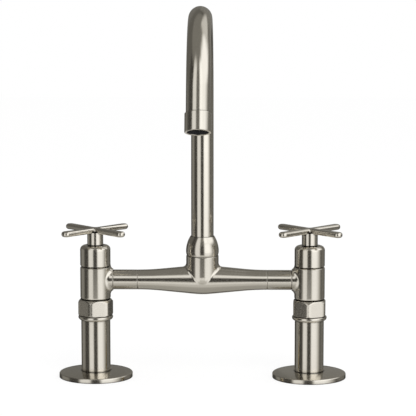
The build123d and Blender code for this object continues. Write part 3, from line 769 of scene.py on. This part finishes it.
def spout_tube():
    """A ring carried up the riser, round the bend and down the nozzle, outside and then inside."""
    foot = node_span("spout_tube")[0][2]
    lean = np.radians(BEND_ANGLE)
    riser = np.linspace(foot, RISER_TOP, 42)[:, None]
    turn = lean * np.linspace(0, 1, 150)[1:, None]
    nozzle = np.linspace(0, NOZZLE - MOUTH_DEPTH - INSERT_ROOM, 9)[1:, None]
    down_nozzle = np.array([0, -np.sin(lean), np.cos(lean)])
    centre = np.concatenate([
        np.hstack([0 * riser, 0 * riser, riser]),
        bend_point(turn),
        bend_point(lean + 0 * nozzle) + nozzle * down_nozzle,
    ])
    heading = np.concatenate([0 * riser, turn, lean + 0 * nozzle])
    outward = np.hstack([0 * heading, np.cos(heading), np.sin(heading)])[:, None]
    angle = np.linspace(0, 2 * np.pi, AROUND + 1)[None, :, None]
    level = np.array([1.0, 0, 0])
    ring = level * np.cos(angle) + outward * np.sin(angle)
    outside, inside = (
        centre[:, None] + radius * ring for radius in (SPOUT_RADIUS, SPOUT_RADIUS - SPOUT_WALL))
    return make_piece("spout_gooseneck", [np.concatenate([outside, inside[::-1], outside[:1]])])


def aerator_housing():
    """The collar on the nozzle, with a seat for the tube and a ledge above its mouth."""
    tube_seat, ledge, stop = SPOUT_RADIUS + 0.05, 9.9, MOUTH_DEPTH + INSERT_ROOM
    mouth_round, edge = 0.35, 0.5
    return nozzle_piece("aerator_collar", [
        (MOUTH_RADIUS, 0, mouth_round), (COLLAR_RADIUS, 0, edge),
        (COLLAR_RADIUS, COLLAR_LENGTH, edge), (tube_seat, COLLAR_LENGTH, 0), (tube_seat, stop, 0),
        (ledge, stop, 0), (ledge, MOUTH_DEPTH, 0), (MOUTH_RADIUS, MOUTH_DEPTH, 0),
    ])


def mouth_shade_sleeve():
    """The dark sleeve that holds the insert: a thin tube inside the collar's mouth. Its black is
    partly the sleeve's own colour and partly painted shade deep inside the mouth.
    """
    outer, wall, lip, top, edge = MOUTH_RADIUS - 0.02, 0.45, 0.5, MOUTH_DEPTH - 0.05, 0.1
    return nozzle_piece("aerator_mouth_lining", [
        (outer - wall, lip, edge), (outer, lip, edge), (outer, top, 0), (outer - wall, top, 0)])


# ---- Materials ----
def node_tree(owner):
    """Empties the node tree of a material or world, and gives a function that adds a node to it.

    The function's dictionary holds the node's inputs, by name or number: a socket is linked, and
    a value is set directly. Its keywords are the node's own settings, which come first.
    """
    owner.use_nodes = True
    tree = owner.node_tree
    tree.nodes.clear()

    def add(kind, inputs=None, **settings):
        node = tree.nodes.new("ShaderNode" + kind)
        for label, value in settings.items():
            setattr(node, label, value)
        for label, value in (inputs or {}).items():
            if isinstance(value, bpy.types.NodeSocket):
                tree.links.new(value, node.inputs[label])
            else:
                node.inputs[label].default_value = value
        return node

    return add


def grain(add, scale, detail=3.0):
    """Noise on the piece's own coordinates, stretched by a scale for each axis."""
    place = add("TexCoord").outputs["Object"]
    stretched = add("Mapping", {"Vector": place, "Scale": scale}).outputs["Vector"]
    noise = add("TexNoise", {"Vector": stretched, "Scale": 1.0, "Detail": detail})
    return noise.outputs["Fac"]


def ranged(add, value, low, high):
    """A value in the range that noise keeps to, spread over low to high."""
    start, end = NOISE_RANGE
    spread = {"Value": value, "From Min": start, "From Max": end, "To Min": low, "To Max": high}
    return add("MapRange", spread).outputs["Result"]


def blend(add, factor, first, second):
    """A mix of two colours."""
    mix = {"Factor": factor, "A": first, "B": second}
    return add("Mix", mix, data_type="RGBA").outputs["Result"]


def painted_seam_shade(add, colour, dark):
    """The colour, darkened by painted shade in narrow seams between surfaces."""
    openness = add("AmbientOcclusion", {"Distance": SEAM_REACH}, samples=8).outputs["AO"]
    start, end = SEAM_RANGE
    depth = add("MapRange", {"Value": openness, "From Min": start, "From Max": end})
    seam = tuple(PAINTED_SEAM_DARK * value for value in dark) + (1,)
    return blend(add, depth.outputs["Result"], seam, colour)


def finish(name, light, dark, roughness, metallic, brush, bump, tone_scale=(30, 30, 30)):
    """A procedural finish: two near tones in soft patches, painted shade in narrow seams, and fine
    lines in roughness and relief.

    `roughness` is its least and greatest value, `brush` the lines' scale along each axis, and
    `bump` the relief's depth in metres.
    """
    material = bpy.data.materials.new(name)
    add = node_tree(material)
    patches = ranged(add, grain(add, tone_scale), 0, 1)
    tones = blend(add, patches, light + (1,), dark + (1,))
    lines = grain(add, brush, 4.0)
    relief = add("Bump", {"Height": lines, "Strength": 1.0, "Distance": bump})
    # The base colour carries painted shade in narrow seams, found by ambient occlusion.
    shader = add("BsdfPrincipled", {
        "Base Color": painted_seam_shade(add, tones, dark), "Metallic": metallic,
        "Roughness": ranged(add, lines, *roughness), "Normal": relief.outputs["Normal"],
    })
    add("OutputMaterial", {"Surface": shader.outputs["BSDF"]})
    return material


def nickel(kind, roughness, brush):
    """Satin nickel, with fine lines of its own for each kind of piece."""
    light, dark = (0.79, 0.752, 0.675), (0.75, 0.712, 0.636)
    return finish("satin_nickel_" + kind, light, dark, roughness, 1.0, brush, 1e-7)


ROUND_Z, ROUND_X, EVEN = (60, 60, 3500), (3500, 60, 60), (500, 500, 500)
nickel_round = nickel("turned", (0.13, 0.19), ROUND_Z)
nickel_bridge = nickel("bridge", (0.13, 0.19), ROUND_X)
nickel_cast = nickel("cast", (0.13, 0.19), EVEN)
nickel_nut = nickel("nut", (0.24, 0.28), EVEN)
brass = finish(
    "bare_brass", (0.78, 0.60, 0.28), (0.70, 0.52, 0.22), (0.25, 0.38), 1.0, ROUND_Z, 3e-6)
zinc = finish("zinc_steel", (0.66, 0.66, 0.67), (0.56, 0.57, 0.59), (0.28, 0.42), 1.0, EVEN, 3e-6)
rubber = finish(
    "black_rubber", (0.030, 0.030, 0.032), (0.018, 0.018, 0.019), (0.62, 0.78), 0.0, EVEN, 8e-6)
ceramic = finish("ceramic", (0.86, 0.86, 0.84), (0.82, 0.82, 0.80), (0.12, 0.20), 0.0, EVEN, 1e-6)
nylon = finish("nylon", (0.82, 0.80, 0.74), (0.76, 0.74, 0.68), (0.42, 0.55), 0.0, EVEN, 4e-6)
plastic = finish(
    "insert_plastic", (0.20, 0.21, 0.22), (0.15, 0.16, 0.17), (0.35, 0.48), 0.0, EVEN, 4e-6)

# ---- The object ----
SIDE_PIECES = (
    (base_flange, "base_flange", "satin_nickel", nickel_round),
    (post, "post", "satin_nickel", nickel_round),
    (supply_shank, "supply_shank", "bare_brass", brass),
    (rubber_washer, "rubber_washer", "black_rubber", rubber),
    (steel_washer, "steel_washer", "zinc_steel", zinc),
    (lock_nut, "lock_nut", "bare_brass", brass),
    (union_nut, "union_nut", "satin_nickel", nickel_nut),
    (valve_body, "valve_body", "satin_nickel", nickel_round),
    (valve_bonnet, "valve_bonnet", "satin_nickel", nickel_round),
    (cross_handle, "cross_handle", "satin_nickel", nickel_cast),
    (bridge_tube, "bridge_tube", "satin_nickel", nickel_bridge),
)
for side, name in SIDES:
    for make, node, slot, material in SIDE_PIECES:
        body = name + "_handle" if node == "cross_handle" else "root"
        fit_piece(make(side, name), body, slot, material, name + "_" + node)
fit_piece(bridge_tee(), "root", "satin_nickel", nickel_bridge, "bridge_tee")
fit_piece(swivel_nut(), "root", "satin_nickel", nickel_round, "swivel_nut")
fit_piece(spout_tube(), "spout", "satin_nickel", nickel_cast, "spout_tube")
fit_piece(aerator_housing(), "spout", "satin_nickel", nickel_cast, "aerator_housing")
# The mouth's black sleeve also paints the shade inside the mouth.
fit_piece(mouth_shade_sleeve(), "spout", "black_rubber", rubber)

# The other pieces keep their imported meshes.
SLOT_FINISH = {
    "satin_nickel": nickel_cast, "bare_brass": brass, "zinc_steel": zinc, "black_rubber": rubber,
    "ceramic": ceramic, "nylon": nylon, "insert_plastic": plastic,
}


def slot_of(node):
    """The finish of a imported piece, by the kind that its name says."""
    kinds = (
        ("disc", "ceramic"), ("ring_lower", "nylon"), ("ring_upper", "nylon"),
        ("screw", "zinc_steel"), ("insert", "insert_plastic"), ("oring", "black_rubber"),
        ("gasket", "black_rubber"), ("washer", "black_rubber"), ("seal", "black_rubber"),
    )
    for word, slot in kinds:
        if word in node:
            return slot
    return "bare_brass"


for node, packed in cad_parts.items():
    if not packed.hide_render:
        packed.data.materials.clear()
        packed.data.materials.append(SLOT_FINISH[slot_of(node)])

# ---- Studio ----
def tent_material(name, panels, see_through=False):
    """Pale panels in a dim tent, by the direction from the object.

    Each panel is a window in bearing times a window in elevation, with soft edges. The bearing
    counts from the front to the right, and the brightest panel wins. A see-through tent adds its
    light to what lies behind it.
    """
    material = bpy.data.materials.new(name)
    add = node_tree(material)

    def calculate(operation, *values):
        return add("Math", dict(enumerate(values)), operation=operation).outputs[0]

    def step(value, start, end):
        edges = {"Value": value, "From Min": start, "From Max": end}
        return add("MapRange", edges, interpolation_type="SMOOTHSTEP").outputs["Result"]

    def window(value, edges):
        opens = step(value, edges[0], edges[1])
        closes = calculate("SUBTRACT", 1.0, step(value, edges[2], edges[3]))
        return calculate("MULTIPLY", opens, closes)

    place = add("TexCoord").outputs["Object"]
    direction = add("VectorMath", {0: place}, operation="NORMALIZE").outputs["Vector"]
    x, y, z = add("SeparateXYZ", {"Vector": direction}).outputs
    bearing = calculate("ARCTAN2", x, calculate("MULTIPLY", y, -1.0))
    bearing = calculate("MULTIPLY", bearing, DEGREES)
    height = calculate("MULTIPLY", calculate("ARCSINE", z), DEGREES)
    brightness = TENT_SHADE
    for level, bearings, heights in panels:
        panel = calculate("MULTIPLY", window(bearing, bearings), window(height, heights))
        brightness = calculate("MAXIMUM", brightness, calculate("MULTIPLY", panel, level))
    tint = blend(add, brightness, WARM_SHADE + (1,), COOL_LIGHT + (1,))
    glow = add("Emission", {"Color": tint, "Strength": brightness})
    shown = glow.outputs["Emission"]
    if see_through:
        clear = add("BsdfTransparent").outputs["BSDF"]
        shown = add("AddShader", {0: clear, 1: shown}).outputs["Shader"]
    add("OutputMaterial", {"Surface": shown})
    material.cycles.emission_sampling = "NONE"
    return material


# Each panel is its level, its edges in bearing and its edges in elevation, in degrees.
ROOM_PANELS = (
    (1.20, (16, 56, 96, 140), (12, 32, 58, 84)),            # above, from the right to behind
    (0.66, (106, 124, 150, 168), (30, 42, 64, 82)),         # above, behind on the right
    (0.13, (-190, -185, -100, -72), (0, 15, 100, 101)),     # wall, left and behind
    (0.17, (70, 110, 130, 160), (-60, -40, 100, 101)),      # wall, right
    (0.25, (-142, -118, -98, -76), (-45, -20, 8, 25)),      # paler stretch of the left wall
    (0.17, (-190, -185, -160, -120), (-6, 4, 32, 50)),      # wall behind, left half
    (0.21, (120, 150, 185, 190), (-6, 4, 36, 54)),          # wall behind, right half
    (0.60, (-190, -185, -176, -160), (-44, -30, -12, -2)),  # window behind, left half
    (0.60, (160, 176, 185, 190), (-44, -30, -12, -2)),      # window behind, right half
    (0.40, (-150, -105, 105, 150), (-95, -70, -50, -14)),   # table at the sides
    (0.38, (-190, -185, 185, 190), (-100, -95, -70, -48)),  # table underneath
    (0.21, (-190, -185, 185, 190), (40, 56, 100, 101)),     # ceiling
)
TENT_PANELS = ROOM_PANELS + (
    (0.86, (-58, -45, -21, -10), (-60, -30, 52, 72)),       # left
    (1.02, (8, 22, 46, 104), (-60, -20, 0, 10)),            # right, below
    (1.28, (8, 22, 47, 98), (-12, -3, 26, 44)),             # right
    (1.30, (8, 22, 42, 70), (20, 36, 54, 72)),              # right, above
    (0.16, (-45, -20, 20, 45), (14, 28, 60, 78)),           # gap in front, above the eye
    (0.58, (-95, -50, 75, 125), (-75, -45, -30, -18)),      # table in front
)
LEFT_HANDLE_PANELS = TENT_PANELS + (
    (1.25, (66, 84, 142, 166), (12, 26, 58, 76)),           # above, to the right and behind
)
BRIDGE_PANELS = ROOM_PANELS + (
    (0.86, (-58, -45, -22, -11), (-60, -30, -3, 3)),        # left, below
    (0.86, (-58, -45, -40, -27), (-3, 3, 46, 66)),          # left
    (1.02, (9, 24, 46, 108), (-60, -20, -3, 3)),            # right, below
    (1.30, (26, 38, 52, 112), (-3, 3, 50, 68)),             # right
    (0.95, (-70, -50, 50, 70), (20, 33, 42, 60)),           # above, in front
    (0.58, (-95, -50, 75, 125), (-75, -45, -17, -9)),       # table in front
    (0.80, (-75, -50, 55, 85), (-42, -24, -13, -5)),        # table's bright far edge
)


def studio_tent(name, radius, material, lit):
    """A sphere round the object, whose light only the reflections in the pieces `lit` show."""
    rise = np.linspace(-np.pi / 2, np.pi / 2, 33)
    outline = np.stack([np.cos(rise), np.sin(rise)], axis=-1) * radius / MM
    outline[[0, -1], 0] = 0
    tent = make_piece(name, [turn_outline(outline, 64)])
    tent.data.materials.append(material)
    for ray in ("camera", "diffuse", "transmission", "shadow", "volume_scatter"):
        setattr(tent, "visible_" + ray, False)
    tent.light_linking.receiver_collection = bpy.data.collections.new(name + "_receivers")
    for piece in lit:
        tent.light_linking.receiver_collection.objects.link(piece)


def deck_floor():
    """The pale deck. The camera sees it white, less the object's soft shadow."""
    reach = FLOOR_REACH / MM
    corners = np.array([
        [[-reach, -reach, 0], [reach, -reach, 0]], [[-reach, reach, 0], [reach, reach, 0]]])
    floor = make_piece("deck_floor", [corners])
    material = bpy.data.materials.new("deck_white")
    add = node_tree(material)
    camera_ray = add("LightPath").outputs["Is Camera Ray"]
    share = add("Math", {0: camera_ray, 1: FLOOR_GLOW_SHARE}, operation="MULTIPLY").outputs[0]
    paint = add("BsdfDiffuse", {"Color": (FLOOR_TONE,) * 3 + (1,)}).outputs["BSDF"]
    glow = add("Emission", {"Strength": FLOOR_GLOW}).outputs["Emission"]
    mix = add("MixShader", {0: share, 1: paint, 2: glow})
    add("OutputMaterial", {"Surface": mix.outputs["Shader"]})
    material.cycles.emission_sampling = "NONE"
    floor.data.materials.append(material)
    floor.visible_glossy = False


def studio_world():
    """White for the camera, reflections and glass, and an even light for the rest."""
    world = bpy.data.worlds.new("studio")
    bpy.context.scene.world = world
    add = node_tree(world)
    rays = add("LightPath").outputs
    seen = rays["Is Camera Ray"]
    for ray in ("Is Glossy Ray", "Is Transmission Ray"):
        seen = add("Math", {0: seen, 1: rays[ray]}, operation="MAXIMUM").outputs[0]
    level = add("MapRange", {"Value": seen, "To Min": 0.9, "To Max": 1.0})
    background = add("Background", {"Color": (1, 1, 1, 1), "Strength": level.outputs["Result"]})
    add("OutputWorld", {"Surface": background.outputs["Background"]})


def soft_lamp(name, place, target, size, power):
    """A large square lamp for the soft shadows, which shows in no reflection."""
    light = bpy.data.lights.new(name, "AREA")
    light.size = size
    light.energy = power
    lamp = bpy.data.objects.new(name, light)
    bpy.context.scene.collection.objects.link(lamp)
    lamp.location = place
    aim = np.array(target) - np.array(place)
    lamp.rotation_euler = (
        np.arccos(-aim[2] / np.linalg.norm(aim)), 0, np.arctan2(aim[1], aim[0]) - np.pi / 2)
    lamp.visible_glossy = False
    lamp.visible_camera = False


def photo_camera():
    """The photograph's view: slightly from above, a hair to the right, from two metres."""
    camera = bpy.data.cameras.new("camera")
    camera.sensor_width = 36.0
    camera.lens = CAMERA_LENS
    seat = bpy.data.objects.new("camera", camera)
    bpy.context.scene.collection.objects.link(seat)
    seat.location = CAMERA_PLACE
    seat.rotation_euler = (np.radians(90 - CAMERA_TILT), 0, np.radians(CAMERA_TURN))
    bpy.context.scene.camera = seat


bridge_pieces = [bpy.data.objects[name] for name in (
    "bridge_tee_cast", "left_bridge_tube_turned", "right_bridge_tube_turned",
    "left_valve_body_cast", "right_valve_body_cast")]
handle_pieces = [bpy.data.objects["left_handle_cross"]]
other_pieces = [
    piece for piece in bpy.context.scene.objects
    if piece.type == "MESH" and piece not in bridge_pieces + handle_pieces]
room_light = tent_material("studio_tent", TENT_PANELS)
bridge_light = tent_material("bridge_tent", BRIDGE_PANELS, see_through=True)
handle_light = tent_material("handle_tent", LEFT_HANDLE_PANELS, see_through=True)
studio_tent("studio_tent", TENT_RADIUS, room_light, other_pieces)
studio_tent("bridge_tent", BRIDGE_TENT_RADIUS, bridge_light, bridge_pieces)
studio_tent("handle_tent", HANDLE_TENT_RADIUS, handle_light, handle_pieces)
deck_floor()
studio_world()
soft_lamp("soft_lamp_front", (0.6, -1.4, 1.6), (0, 0, 0.1), 1.2, 12)
photo_camera()
bpy.context.scene.view_settings.view_transform = "Standard"
